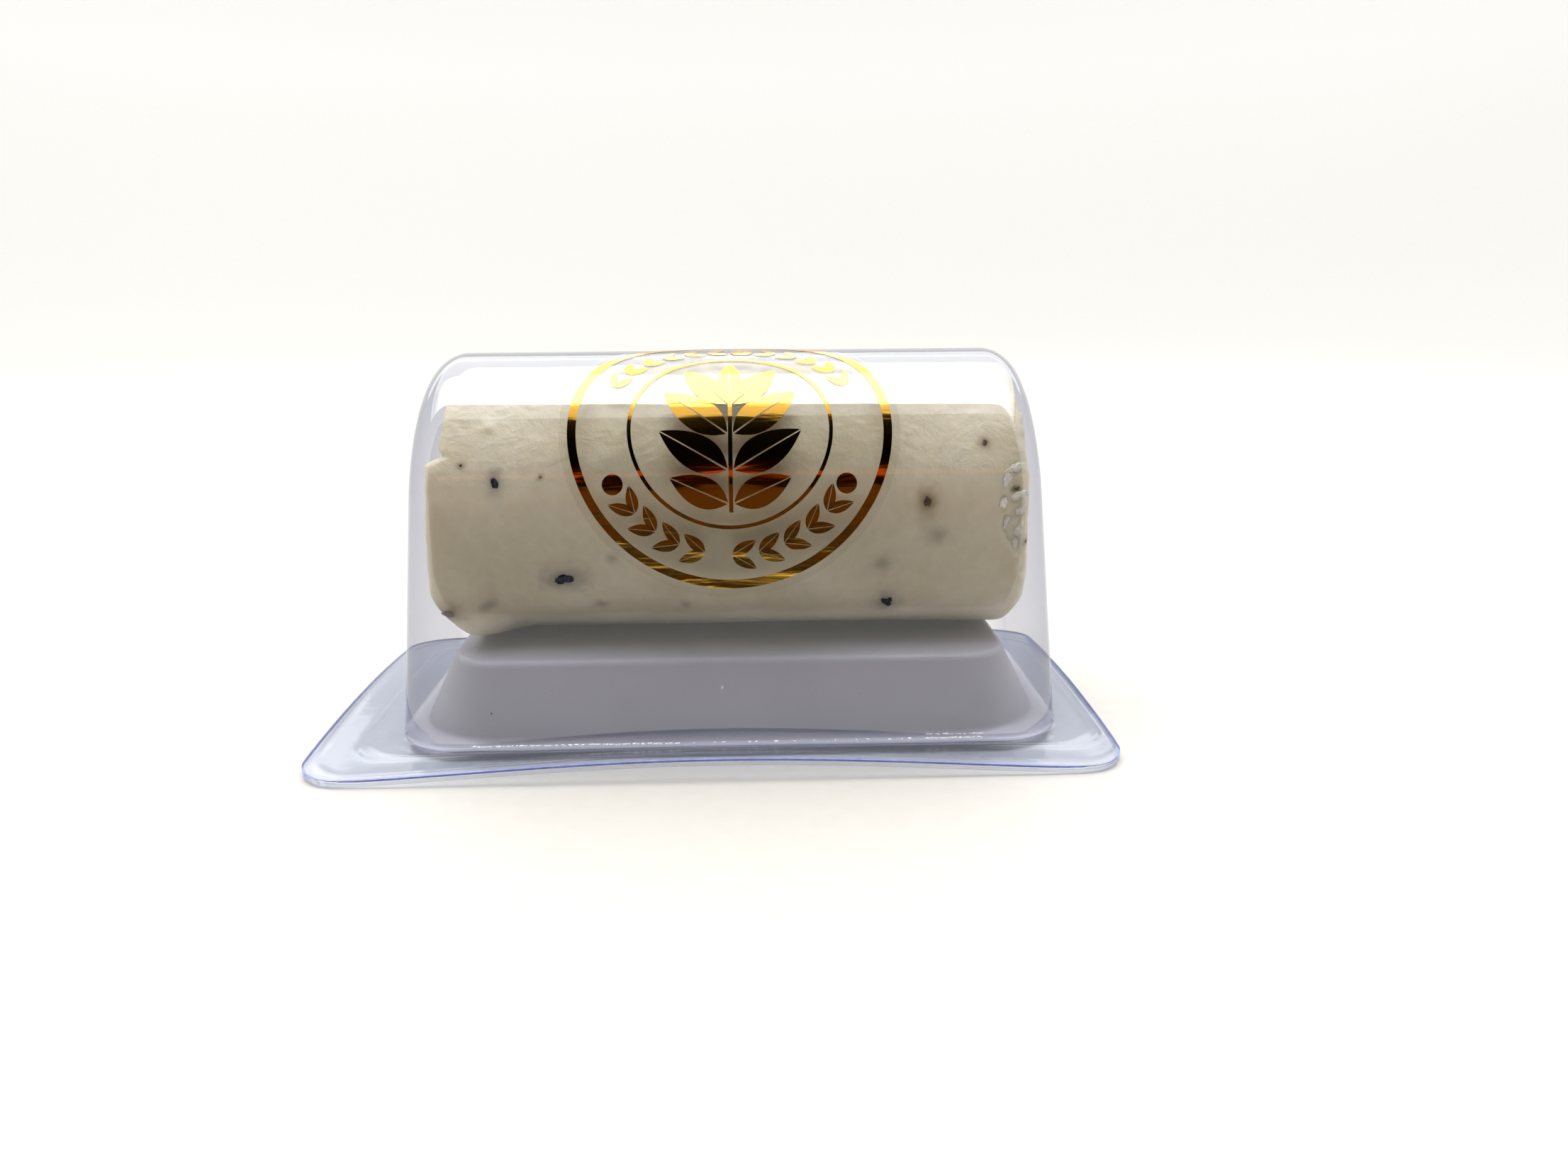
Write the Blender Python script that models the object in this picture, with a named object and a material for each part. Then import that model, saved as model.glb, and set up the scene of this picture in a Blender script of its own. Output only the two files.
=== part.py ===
# Fresh goat cheese log in its shut retail pack: a white tray with a raised bed,
# the log that lies on the bed, a clear dome over it and a round clear seal.
# Units are metres, +Z is up, +X runs along the log and -Y is the labelled front.
# The origin is at the centre of the pack's footprint, on the surface it stands on.
import math

import bmesh
import bpy

# Dome, outer face
DOME_LENGTH = 0.1000            # at the foot, along X
DOME_HEIGHT = 0.05775           # from the table
ARCH_RADIUS = 0.0227            # round back of the tunnel
FRONT_DRAFT = math.radians(6.5)
END_DRAFT = math.radians(4.7)
TOP_CORNER_RADIUS = 0.0052      # where the end wall rolls into the back
FOOT_CORNER_RADIUS = 0.0100     # the same corner, at the foot
DOME_SHEET = 0.00045
END_SPREAD = 0.45               # the back's lines fan out down the end walls by this share of their height

# Flange that both sheets share
LEFT_MARGIN = 0.01175           # from the dome's foot to the cut edge
RIGHT_MARGIN = 0.00705
FRONT_MARGIN = 0.00945
FLANGE_CORNER_RADIUS = 0.0070
FOOT_HEIGHT = 0.00203           # top of the clear sheet at the dome's foot
LEDGE_SIDE_MARGIN = 0.0055
LEDGE_FRONT_MARGIN = 0.0024
LEDGE_CORNER_RADIUS = 0.0065
LEDGE_DROOP = 0.0003            # the ledge's corners sink below the foot
LEDGE_DROP = 0.0003             # step down at the ledge's outer edge
LEDGE_SLOPE_RUN = 0.0005
LEDGE_LIFT = 0.35               # share of the edges' lift that the ledge follows
STEP_LIFT = 0.45                # and that the foot of its step follows
RIM_SHARE = 0.3                 # share of the flange that runs level inside its cut edge
FOOT_FILLET = 0.0008
FOOT_FRONT_LIFT = 0.0002        # the dome's foot bows up a little too
FOOT_SIDE_LIFT = 0.0001
CORNER_HEIGHT = 0.00125         # top of the clear sheet at its lowest, near the corners
FRONT_LIFT = 0.00244            # how far the long edges bow up between the corners
SIDE_LIFT = 0.00158

# Tray under the dome
TRAY_SHEET = 0.0005
SHEET_GAP = 0.0003
BED_HEIGHT = 0.0139
BED_HALF_LENGTH = 0.0411        # flat top, inside the rounded lip
BED_HALF_WIDTH = 0.0212
BED_CORNER_RADIUS = 0.0062
BED_LIP_RADIUS = 0.0013
BED_FOOT_HALF_LENGTH = 0.0473   # wall, where it meets the fillet at its foot
BED_FOOT_HALF_WIDTH = 0.0248
BED_FOOT_CORNER_RADIUS = 0.0130
BED_FOOT_HEIGHT = 0.0032

# Cheese
LOG_RADIUS = 0.0210
LOG_LEFT = 0.0441               # from the dome's middle to the left face, at the axis
LOG_RIGHT = 0.0447
LOG_FACE_LEAN = 0.035           # the faces slump outwards towards the bottom
LOG_SLUMP = 2.35                # exponent of the lower half's outline, a circle being 2
LOG_EDGE_RADIUS = 0.0012
NOTCH_DEPTH = 0.0017            # missing slice at the top of the left face
NOTCH_START = 0.0073            # height of the notch's floor above the axis
NOTCH_RISE = 0.0016             # over which the notch reaches its depth
CHIP_DEPTH = 0.0009             # crumbled patch at the front of the right face
CHIP_ACROSS = -0.019            # its place from the axis, and how far it spreads
CHIP_UP = 0.0025
CHIP_SPREAD = 0.004
FACE_RELIEF = 0.00025
FACE_WAVES_UP = 430             # radians of relief for each metre
FACE_WAVES_ACROSS = 390
SIDE_SWELL = 0.0003             # the log's sides stay within this of the true radius

# Seal
SEAL_RADIUS = 0.0247
SEAL_SHEET = 0.0002
SEAL_X = 0.0006
SEAL_ARC = 0.0223               # centre of the seal, measured round the front from the crown

CENTRE_SHIFT = (LEFT_MARGIN - RIGHT_MARGIN) / 2
DOME_HALF_LENGTH = DOME_LENGTH / 2
ARCH_CENTRE = DOME_HEIGHT - ARCH_RADIUS
TANGENT_HEIGHT = ARCH_CENTRE + ARCH_RADIUS * math.sin(FRONT_DRAFT)
DOME_HALF_WIDTH = (ARCH_RADIUS * math.cos(FRONT_DRAFT)
                   + (TANGENT_HEIGHT - FOOT_HEIGHT) * math.tan(FRONT_DRAFT))
FLANGE_HALF_LENGTH = DOME_HALF_LENGTH + (LEFT_MARGIN + RIGHT_MARGIN) / 2
FLANGE_HALF_WIDTH = DOME_HALF_WIDTH + FRONT_MARGIN
LOG_AXIS = BED_HEIGHT + SHEET_GAP + LOG_RADIUS

# Steps round every ring of the two sheets, along and round the log, and round the seal
END_STEPS = 3
CORNER_STEPS = 5
FRONT_STEPS = 12
LOG_ALONG = 16
LOG_AROUND = 44
SEAL_AROUND = 40


def clear_scene():
    for item in list(bpy.data.objects):
        bpy.data.objects.remove(item, do_unlink=True)


def material(name, colour, roughness, metallic=0.0, alpha=1.0):
    made = bpy.data.materials.new(name)
    made.use_nodes = True
    shader = made.node_tree.nodes["Principled BSDF"]
    shader.inputs["Base Color"].default_value = (*colour, 1.0)
    shader.inputs["Roughness"].default_value = roughness
    shader.inputs["Metallic"].default_value = metallic
    shader.inputs["Alpha"].default_value = alpha
    return made


def stations():
    """Places round a rounded rectangle: the share of its length and of its width, and the outward normal."""
    ends = [(-1.0, -k / END_STEPS, -1.0, 0.0) for k in range(END_STEPS)]
    corner = []
    for k in range(CORNER_STEPS):
        turn = math.pi / 2 * k / CORNER_STEPS
        corner.append((-1.0, -1.0, -math.cos(turn), -math.sin(turn)))
    front = [(2 * k / FRONT_STEPS - 1, -1.0, 0.0, -1.0) for k in range(FRONT_STEPS + 1)]
    half = ends + corner + front
    half += [(-u, v, -nx, ny) for u, v, nx, ny in reversed(ends + corner)]
    back = [(u, -v, nx, -ny) for u, v, nx, ny in reversed(half[1:-1])]
    return half + back


RING = stations()


def rectangle(half_length, half_width, radius, centre=0.0):
    """Plan outline of a rounded rectangle, one point for each station."""
    return [(centre + u * (half_length - radius) + nx * radius, v * (half_width - radius) + ny * radius)
            for u, v, nx, ny in RING]


def bow(outline, front, side, centre=0.0):
    """Height added to each point of a plan outline: the long and the short edges lift between the corners."""
    half_length = max(x - centre for x, y in outline)
    half_width = max(y for x, y in outline)
    lifts = []
    for x, y in outline:
        along = min(abs(x - centre) / half_length, 1.0)
        across = min(abs(y) / half_width, 1.0)
        long_edge = math.cos(math.pi / 2 * along) ** 1.5 * across ** 2
        short_edge = (1 - across ** 2) * along ** 2
        lifts.append(front * long_edge + side * short_edge)
    return [lift - min(lifts) for lift in lifts]


def blend(first, second, share):
    return [tuple(a + (b - a) * share for a, b in zip(p, q)) for p, q in zip(first, second)]


def raised(outline, height, front_lift=0.0, side_lift=0.0, centre=0.0):
    lifts = bow(outline, front_lift, side_lift, centre)
    return [(x, y, height + lift) for (x, y), lift in zip(outline, lifts)]


def flange_rings(drop):
    """Rings of a sheet from its cut edge in to the ledge, lowered by drop."""
    off_centre = -CENTRE_SHIFT
    cut = rectangle(FLANGE_HALF_LENGTH, FLANGE_HALF_WIDTH, FLANGE_CORNER_RADIUS, off_centre)
    ledge = rectangle(DOME_HALF_LENGTH + LEDGE_SIDE_MARGIN, DOME_HALF_WIDTH + LEDGE_FRONT_MARGIN,
                      LEDGE_CORNER_RADIUS)
    below = rectangle(DOME_HALF_LENGTH + LEDGE_SIDE_MARGIN + LEDGE_SLOPE_RUN,
                      DOME_HALF_WIDTH + LEDGE_FRONT_MARGIN + LEDGE_SLOPE_RUN,
                      LEDGE_CORNER_RADIUS + LEDGE_SLOPE_RUN)
    edge = raised(cut, CORNER_HEIGHT - drop, FRONT_LIFT, SIDE_LIFT, off_centre)
    ledge_height = FOOT_HEIGHT - LEDGE_DROOP - drop
    low = raised(below, ledge_height - LEDGE_DROP, STEP_LIFT * FRONT_LIFT, STEP_LIFT * SIDE_LIFT)
    high = raised(ledge, ledge_height, LEDGE_LIFT * FRONT_LIFT, LEDGE_LIFT * SIDE_LIFT)
    rim = [(x, y, z) for (x, y, _), (_, _, z) in zip(blend(edge, low, RIM_SHARE), edge)]
    return [edge, rim, blend(rim, low, 0.5), low, high]


def solid(name, form, finish, thickness=0.0, grow=-1.0):
    """Object from a bmesh. A thickness turns a surface into a sheet, below it or, with grow 1, above it."""
    mesh = bpy.data.meshes.new(name)
    form.to_mesh(mesh)
    form.free()
    mesh.materials.append(finish)
    mesh.shade_smooth()
    body = bpy.data.objects.new(name, mesh)
    bpy.context.collection.objects.link(body)
    if thickness:
        wall = body.modifiers.new("sheet", "SOLIDIFY")
        wall.thickness = thickness
        wall.offset = grow
    return body


def skin(rings, flat_end=False):
    """Surface over closed rings of points, the last one shrunk to a line or a point, or given a flat face."""
    form = bmesh.new()
    rows = [[form.verts.new((x + CENTRE_SHIFT, y, z)) for x, y, z in ring] for ring in rings]
    for outer, inner in zip(rows, rows[1:]):
        for k in range(len(outer)):
            following = (k + 1) % len(outer)
            form.faces.new((outer[k], outer[following], inner[following], inner[k]))
    if flat_end:
        form.faces.new(rows[-1])
    bmesh.ops.remove_doubles(form, verts=form.verts, dist=1e-6)
    bmesh.ops.recalc_face_normals(form, faces=form.faces)
    if sum(face.normal.z * face.calc_area() for face in form.faces) < 0:
        bmesh.ops.reverse_faces(form, faces=form.faces)
    return form


def dome_point(station, step):
    """Point of the outer face: step 0 is the foot, 1 the top of the drafted wall and 2 the crown."""
    u, v, nx, ny = station
    foot = FOOT_HEIGHT + FOOT_FILLET * (1 - math.sin(FRONT_DRAFT))
    height = foot + (DOME_HEIGHT - foot) * step / 2
    for _ in range(4):
        climbed = (height - FOOT_HEIGHT) / (DOME_HEIGHT - FOOT_HEIGHT)
        corner = FOOT_CORNER_RADIUS + (TOP_CORNER_RADIUS - FOOT_CORNER_RADIUS) * climbed
        inset = corner * (1 - abs(ny))
        radius = ARCH_RADIUS - inset * math.cos(FRONT_DRAFT)
        if step <= 1:
            height = foot + (ARCH_CENTRE + radius * math.sin(FRONT_DRAFT) - foot) * step
            half_width = DOME_HALF_WIDTH - (height - FOOT_HEIGHT) * math.tan(FRONT_DRAFT) - inset
        else:
            angle = FRONT_DRAFT + (math.pi / 2 - FRONT_DRAFT) * (step - 1)
            height = ARCH_CENTRE + radius * math.sin(angle)
            half_width = radius * math.cos(angle)
    share = abs(v)
    height = foot + (height - foot) * (1 - END_SPREAD * (1 - share))
    half_length = DOME_HALF_LENGTH - (height - FOOT_HEIGHT) * math.tan(END_DRAFT)
    return u * (half_length - corner) + nx * corner, v * half_width, height


def clear_dome():
    """The tunnel-shaped lid: flange, ledge, foot fillet, drafted walls and a round back."""
    rings = flange_rings(0.0)
    foot = [dome_point(station, 0.0) for station in RING]
    lift = bow([(x, y) for x, y, z in foot], FOOT_FRONT_LIFT, FOOT_SIDE_LIFT)
    for degrees in (90, 50):
        turn = math.radians(degrees)
        out = FOOT_FILLET * (math.cos(FRONT_DRAFT) - math.cos(turn))
        height = FOOT_HEIGHT + FOOT_FILLET * (1 - math.sin(turn))
        rings.append([(x + nx * out, y + ny * out, height + rise)
                      for (x, y, z), (u, v, nx, ny), rise in zip(foot, RING, lift)])
    rings.append([(x, y, z + rise) for (x, y, z), rise in zip(foot, lift)])
    for step in (0.25, 0.5, 0.75, 1.0, 1.12, 1.25, 1.38, 1.5, 1.62, 1.75, 1.88, 2.0):
        rings.append([dome_point(station, step) for station in RING])
    plastic = material("clear_blue_plastic", (0.62, 0.68, 0.86), 0.08, alpha=0.35)
    return solid("clear_dome", skin(rings), plastic, DOME_SHEET)


def bed_rings(drop):
    """The tray's raised bed: its fillet out of the ledge, the sloping wall and the rounded lip."""
    floor = FOOT_HEIGHT - drop
    foot = rectangle(DOME_HALF_LENGTH - SHEET_GAP, DOME_HALF_WIDTH, FOOT_CORNER_RADIUS)
    wall_foot = rectangle(BED_FOOT_HALF_LENGTH, BED_FOOT_HALF_WIDTH, BED_FOOT_CORNER_RADIUS)
    lip = rectangle(BED_HALF_LENGTH + BED_LIP_RADIUS, BED_HALF_WIDTH + BED_LIP_RADIUS,
                    BED_CORNER_RADIUS + BED_LIP_RADIUS)
    top = rectangle(BED_HALF_LENGTH, BED_HALF_WIDTH, BED_CORNER_RADIUS)
    rings = []
    for degrees in (90, 55, 25, 0):
        turn = math.radians(degrees)
        height = BED_FOOT_HEIGHT - (BED_FOOT_HEIGHT - floor) * math.sin(turn)
        rings.append(raised(blend(wall_foot, foot, 1 - math.cos(turn)), height))
    rings.append(raised(blend(wall_foot, lip, 0.5), (BED_FOOT_HEIGHT + BED_HEIGHT - BED_LIP_RADIUS) / 2))
    for degrees in (90, 60, 30, 0):
        turn = math.radians(degrees)
        height = BED_HEIGHT - BED_LIP_RADIUS * (1 - math.cos(turn))
        rings.append(raised(blend(top, lip, math.sin(turn)), height))
    return rings


def tray():
    """The white tray: a flange under the dome's flange and a raised bed that carries the log."""
    drop = DOME_SHEET + SHEET_GAP
    white = material("white_plastic", (0.80, 0.80, 0.84), 0.35)
    return solid("tray", skin(flange_rings(drop) + bed_rings(drop), flat_end=True), white, TRAY_SHEET)


def face_position(side, across, up):
    """Signed X of the log's end face: a slumped cut with the slice missing at the upper left."""
    reach = (LOG_LEFT if side < 0 else LOG_RIGHT) - LOG_FACE_LEAN * up
    relief = FACE_RELIEF * math.sin(FACE_WAVES_UP * up + 1.0) * math.cos(FACE_WAVES_ACROSS * across + 0.4)
    if side < 0:
        climb = min(max((up - NOTCH_START) / NOTCH_RISE, 0.0), 1.0)
        reach -= NOTCH_DEPTH * climb * climb * (3 - 2 * climb)
    else:
        apart = (up - CHIP_UP) ** 2 + (across - CHIP_ACROSS) ** 2
        reach -= CHIP_DEPTH * math.exp(-apart / CHIP_SPREAD ** 2)
    return side * (reach + relief)


def log_point(length_share, radius_share, angle):
    """Point of the log: a share of the way from the left face to the right one and out from the axis."""
    swell = 0.6 * math.sin(3 * angle + 5 * length_share) + 0.4 * math.sin(7 * angle - 9 * length_share + 1)
    exponent = LOG_SLUMP if math.sin(angle) < 0 else 2.0
    fullness = (abs(math.cos(angle)) ** exponent + abs(math.sin(angle)) ** exponent) ** (-1 / exponent)
    radius = (LOG_RADIUS + SIDE_SWELL * (swell - 1)) * fullness * radius_share
    across, up = -radius * math.cos(angle), radius * math.sin(angle)
    left = face_position(-1, across, up)
    right = face_position(1, across, up)
    return left + (right - left) * length_share + CENTRE_SHIFT, across, LOG_AXIS + up


def cheese_log():
    """The soft log: a slightly uneven round bar, fuller below where it lies, with uneven cut faces."""
    edge = LOG_EDGE_RADIUS / (LOG_LEFT + LOG_RIGHT)
    inset = LOG_EDGE_RADIUS / LOG_RADIUS
    left_end = [(0.0, 0.35), (0.0, 0.7), (0.0, 1 - inset), (0.3 * edge, 1 - 0.3 * inset)]
    right_end = [(1 - length_share, radius_share) for length_share, radius_share in reversed(left_end)]
    side = [(edge + (1 - 2 * edge) * k / LOG_ALONG, 1.0) for k in range(LOG_ALONG + 1)]
    form = bmesh.new()
    rows = []
    for length_share, radius_share in left_end + side + right_end:
        ring = [log_point(length_share, radius_share, 2 * math.pi * k / LOG_AROUND)
                for k in range(LOG_AROUND)]
        rows.append([form.verts.new(point) for point in ring])
    for first, second in zip(rows, rows[1:]):
        for k in range(LOG_AROUND):
            following = (k + 1) % LOG_AROUND
            form.faces.new((first[k], second[k], second[following], first[following]))
    for row, length_share in ((rows[0], 0.0), (rows[-1], 1.0)):
        middle = form.verts.new(log_point(length_share, 0.0, 0.0))
        for k in range(LOG_AROUND):
            form.faces.new((middle, row[k], row[(k + 1) % LOG_AROUND]))
    bmesh.ops.recalc_face_normals(form, faces=form.faces)
    return solid("cheese_log", form, material("fresh_goat_cheese", (0.83, 0.79, 0.70), 0.55))


def front_section(arc, offset):
    """Y and Z of the dome's front face, arc metres round from the crown, offset outwards."""
    arch = ARCH_RADIUS * (math.pi / 2 - FRONT_DRAFT)
    angle = max(math.pi / 2 - arc / ARCH_RADIUS, FRONT_DRAFT)
    down = max(arc - arch, 0.0)
    y = -(ARCH_RADIUS + offset) * math.cos(angle) - down * math.sin(FRONT_DRAFT)
    z = ARCH_CENTRE + (ARCH_RADIUS + offset) * math.sin(angle) - down * math.cos(FRONT_DRAFT)
    return y, z


def seal():
    """The round clear sticker that wraps over the front of the dome."""
    rings = []
    for share in (1.0, 0.8, 0.6, 0.4, 0.2, 0.0):
        ring = []
        for k in range(SEAL_AROUND):
            angle = 2 * math.pi * k / SEAL_AROUND
            reach = SEAL_RADIUS * share
            y, z = front_section(SEAL_ARC - reach * math.sin(angle), SHEET_GAP)
            ring.append((SEAL_X + reach * math.cos(angle), y, z))
        rings.append(ring)
    foil = material("foil_seal", (0.62, 0.42, 0.16), 0.25, metallic=0.6, alpha=0.6)
    return solid("seal", skin(rings), foil, SEAL_SHEET, grow=1.0)


clear_scene()
tray()
cheese_log()
clear_dome()
seal()
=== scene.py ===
# %% [markdown]
# # A goat cheese log in its clear pack
#
# The real thing is a soft white cheese pressed into a round bar. It lies on the raised bed of a
# white tray, a clear dome closes over it, and a round sticker with gold foil shapes wraps over
# the front of the dome. The lesson loads the measured solids first. They fix every size, and
# each new piece is then modelled in their place with the detail that the solids leave out.

# %% Load the measured solids
import math
import random

import bmesh
import bpy
from mathutils import Matrix, Vector, noise


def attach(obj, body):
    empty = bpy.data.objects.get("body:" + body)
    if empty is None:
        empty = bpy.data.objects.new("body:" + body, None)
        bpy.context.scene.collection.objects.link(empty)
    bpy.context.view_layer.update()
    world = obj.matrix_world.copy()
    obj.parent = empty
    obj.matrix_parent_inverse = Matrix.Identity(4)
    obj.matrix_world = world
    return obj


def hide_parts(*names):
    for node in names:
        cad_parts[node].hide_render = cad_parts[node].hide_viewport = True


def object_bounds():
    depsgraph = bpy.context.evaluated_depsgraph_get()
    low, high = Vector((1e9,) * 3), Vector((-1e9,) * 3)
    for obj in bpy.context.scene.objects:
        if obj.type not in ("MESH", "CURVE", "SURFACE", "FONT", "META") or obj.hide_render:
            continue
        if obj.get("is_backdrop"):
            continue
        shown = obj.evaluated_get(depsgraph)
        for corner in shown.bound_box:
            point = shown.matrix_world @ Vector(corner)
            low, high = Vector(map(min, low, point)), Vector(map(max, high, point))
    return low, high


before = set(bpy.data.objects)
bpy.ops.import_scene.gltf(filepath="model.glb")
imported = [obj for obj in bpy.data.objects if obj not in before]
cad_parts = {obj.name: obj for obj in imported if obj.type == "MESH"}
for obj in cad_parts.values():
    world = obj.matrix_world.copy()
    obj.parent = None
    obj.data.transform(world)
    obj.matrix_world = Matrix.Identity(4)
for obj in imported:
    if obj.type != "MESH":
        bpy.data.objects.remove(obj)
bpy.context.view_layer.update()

print("solids:", ", ".join(sorted(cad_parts)))

# %% [markdown]
# ## The camera
#
# The photograph was taken from just above the pack, 196 mm in front of its middle, with a wide
# lens. Place, turn and focal length come from fitting the straight edges of the pack.

# %% Camera
CAMERA_PLACE = (0.00517, -0.1965, 0.06706)
CAMERA_YAW = math.radians(1.737)      # towards +X
CAMERA_PITCH = math.radians(13.735)   # downwards
CAMERA_ROLL = math.radians(-0.508)
SENSOR_WIDTH = 36.0
FOCAL_PIXELS = 1725
PHOTO_WIDTH = 2212

turn = (Matrix.Rotation(-CAMERA_YAW, 4, "Z") @ Matrix.Rotation(math.pi / 2 - CAMERA_PITCH, 4, "X")
        @ Matrix.Rotation(CAMERA_ROLL, 4, "Z"))
bpy.ops.object.camera_add(location=CAMERA_PLACE, rotation=turn.to_euler())
camera = bpy.context.object
camera.data.sensor_width = SENSOR_WIDTH
camera.data.lens = SENSOR_WIDTH * FOCAL_PIXELS / PHOTO_WIDTH
camera.data.clip_start = 0.01
bpy.context.scene.camera = camera
bpy.context.scene.view_settings.view_transform = "Standard"
bpy.context.scene.cycles.transparent_max_bounces = 32    # light crosses many clear walls here
print("lens in mm:", round(camera.data.lens, 2))

# %% [markdown]
# ## Materials
#
# Each finish is a small tree of shader nodes. One helper turns the hex colours of a colour
# picker, which are sRGB, into the linear numbers that the shaders expect. A second one adds a
# node, sets its sockets and joins it to the nodes before it, so a tree reads from top to bottom.

# %% Helpers for materials
def linear(hex_colour, alpha=1.0):
    """Linear colour of an sRGB hex value."""
    channels = [int(hex_colour[k:k + 2], 16) / 255 for k in (1, 3, 5)]
    return tuple(c / 12.92 if c <= 0.04045 else ((c + 0.055) / 1.055) ** 2.4 for c in channels) + (alpha,)


def new_material(name):
    """Empty material: returns it and its node tree."""
    made = bpy.data.materials.new(name)
    made.use_nodes = True
    made.node_tree.nodes.clear()
    return made, made.node_tree


def add(tree, kind, settings=None, links=None, **properties):
    """Adds a node, with its properties, its socket values and the outputs that feed it."""
    made = tree.nodes.new(kind)
    for name, value in properties.items():
        setattr(made, name, value)
    for socket, value in (settings or {}).items():
        made.inputs[socket].default_value = value
    for socket, source in (links or {}).items():
        tree.links.new(source, made.inputs[socket])
    return made


def own_place(tree):
    return add(tree, "ShaderNodeTexCoord").outputs["Object"]


def mottle(tree, scale, detail, place=None, **settings):
    """Noise in the object's own coordinates: at scale 1000 its lumps are about 1 mm across."""
    settings.update({"Scale": scale, "Detail": detail})
    return add(tree, "ShaderNodeTexNoise", settings, {"Vector": place or own_place(tree)}).outputs["Fac"]


def bumps(tree, strength, distance, height):
    return add(tree, "ShaderNodeBump", {"Strength": strength, "Distance": distance},
               {"Height": height}).outputs["Normal"]


def ramp(tree, source, dark, light, low=0.0, high=1.0):
    """Colours from dark to light, between two values of the source."""
    made = add(tree, "ShaderNodeValToRGB", links={"Fac": source})
    for stop, colour, position in zip(made.color_ramp.elements, (dark, light), (low, high)):
        stop.position = position
        stop.color = linear(colour)
    return made


def surface(tree, shader):
    add(tree, "ShaderNodeOutputMaterial", links={"Surface": shader.outputs[0]})


# %% [markdown]
# ## Fresh goat cheese
#
# Fresh goat cheese is a moist white curd. Light goes a few millimetres into it, so it needs
# subsurface scattering, or it looks like plaster. The surface is satin and faintly greasy. The
# curd's grain is about 1 mm, and wider clouds of warm and pale curd lie under it. A colour stored
# on the log's own points stains the curd round its flecks and pales it where it is broken.

# %% Cheese material
SMOOTH_BELOW = 0.037         # the curd is pressed smooth below this height and torn above it
TORN_OVER = 0.006            # height over which the one turns into the other
SPECK_SHARE = 0.55

cheese_paste, tree = new_material("fresh_goat_cheese_pressed")
specks = add(tree, "ShaderNodeMath", {1: SPECK_SHARE, 2: -SPECK_SHARE / 2},
             {0: mottle(tree, 700, 3, Roughness=0.6)}, operation="MULTIPLY_ADD")
patches = add(tree, "ShaderNodeMath", links={0: specks.outputs[0], 1: mottle(tree, 90, 3, Roughness=0.55)},
              operation="ADD")
tone = ramp(tree, patches.outputs[0], "#E3D8B9", "#F0E6CB", 0.3, 0.7)
height = add(tree, "ShaderNodeSeparateXYZ", links={"Vector": own_place(tree)})
torn = add(tree, "ShaderNodeMapRange", {"From Min": SMOOTH_BELOW, "From Max": SMOOTH_BELOW + TORN_OVER,
                                        "To Min": 0.25, "To Max": 1.0}, {"Value": height.outputs["Z"]},
           interpolation_type="SMOOTHSTEP")
grain, smears = mottle(tree, 900, 4, Roughness=0.6), mottle(tree, 190, 5, Roughness=0.62, Distortion=1.2)
relief = add(tree, "ShaderNodeMath", {1: 0.45}, {0: grain, 2: smears}, operation="MULTIPLY_ADD")
bump = add(tree, "ShaderNodeBump", {"Distance": 0.00042},
           {"Height": relief.outputs[0], "Strength": torn.outputs["Result"]})
tint = add(tree, "ShaderNodeAttribute", attribute_name="curd_tint")
stained = add(tree, "ShaderNodeVectorMath", links={0: tone.outputs["Color"], 1: tint.outputs["Color"]},
              operation="MULTIPLY")
shader = add(tree, "ShaderNodeBsdfPrincipled",
             {"Roughness": 0.46, "IOR": 1.42, "Subsurface Weight": 1.0, "Subsurface Radius": (1.0, 0.8, 0.55),
              "Subsurface Scale": 0.0014},
             {"Base Color": stained.outputs["Vector"], "Normal": bump.outputs["Normal"]})
surface(tree, shader)
print("made", cheese_paste.name)

# %% [markdown]
# ## Flecks in the cheese
#
# A few dark flecks of mushroom or herb lie in the curd. They are moist, nearly black or brown, and
# are painted as vegetable matter: a dark colour with a fine mottle, and a soft gloss. The same
# recipe in pale colours serves for flakes of torn curd and for small marks on the plastic.

# %% Fleck materials
def fleck_material(name, dark, light):
    made, tree = new_material(name)
    tone = ramp(tree, mottle(tree, 2500, 3), dark, light, 0.35, 0.7)
    surface(tree, add(tree, "ShaderNodeBsdfPrincipled", {"Roughness": 0.5, "IOR": 1.4},
                      {"Base Color": tone.outputs["Color"]}))
    return made


black_fleck = fleck_material("black_truffle_peel", "#1B1C22", "#4A4A55")
brown_fleck = fleck_material("brown_herb_stalk", "#3D3128", "#7A6650")
olive_hole = fleck_material("hole_in_curd", "#5A5344", "#857C66")

# %% [markdown]
# ## The two plastics
#
# The tray is white polystyrene sheet drawn over a mould by vacuum: satin, very slightly cold, and
# with the faint waviness of drawn sheet. The dome is clear PVC sheet with a drop of blue dye
# against yellowing. A thin clear sheet hardly bends light, so it is a see-through shader mixed
# with gloss by Fresnel, and the dye shows where the eye looks along the sheet. The outer face
# carries the gloss of both faces. The flange has the same dye and fine scuffs. The cut edge
# gathers the dye of the whole sheet and looks blue-violet.

# %% Tray material
TRAY_SHINE_THROUGH = 0.3     # share of the light that goes on through the thin white sheet
tray_white, tree = new_material("white_polystyrene_sheet")
waviness = mottle(tree, 120, 2)
tone = ramp(tree, waviness, "#BCBBC5", "#C6C5CE")
shader = add(tree, "ShaderNodeBsdfPrincipled", {"Roughness": 0.34, "IOR": 1.59},
             {"Base Color": tone.outputs["Color"], "Normal": bumps(tree, 0.15, 0.0003, waviness)})
shine_through = add(tree, "ShaderNodeBsdfTranslucent", links={"Color": tone.outputs["Color"]})
thin = add(tree, "ShaderNodeMixShader", {0: TRAY_SHINE_THROUGH},
           {1: shader.outputs[0], 2: shine_through.outputs[0]})
surface(tree, thin)
print("made", tray_white.name)

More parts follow.
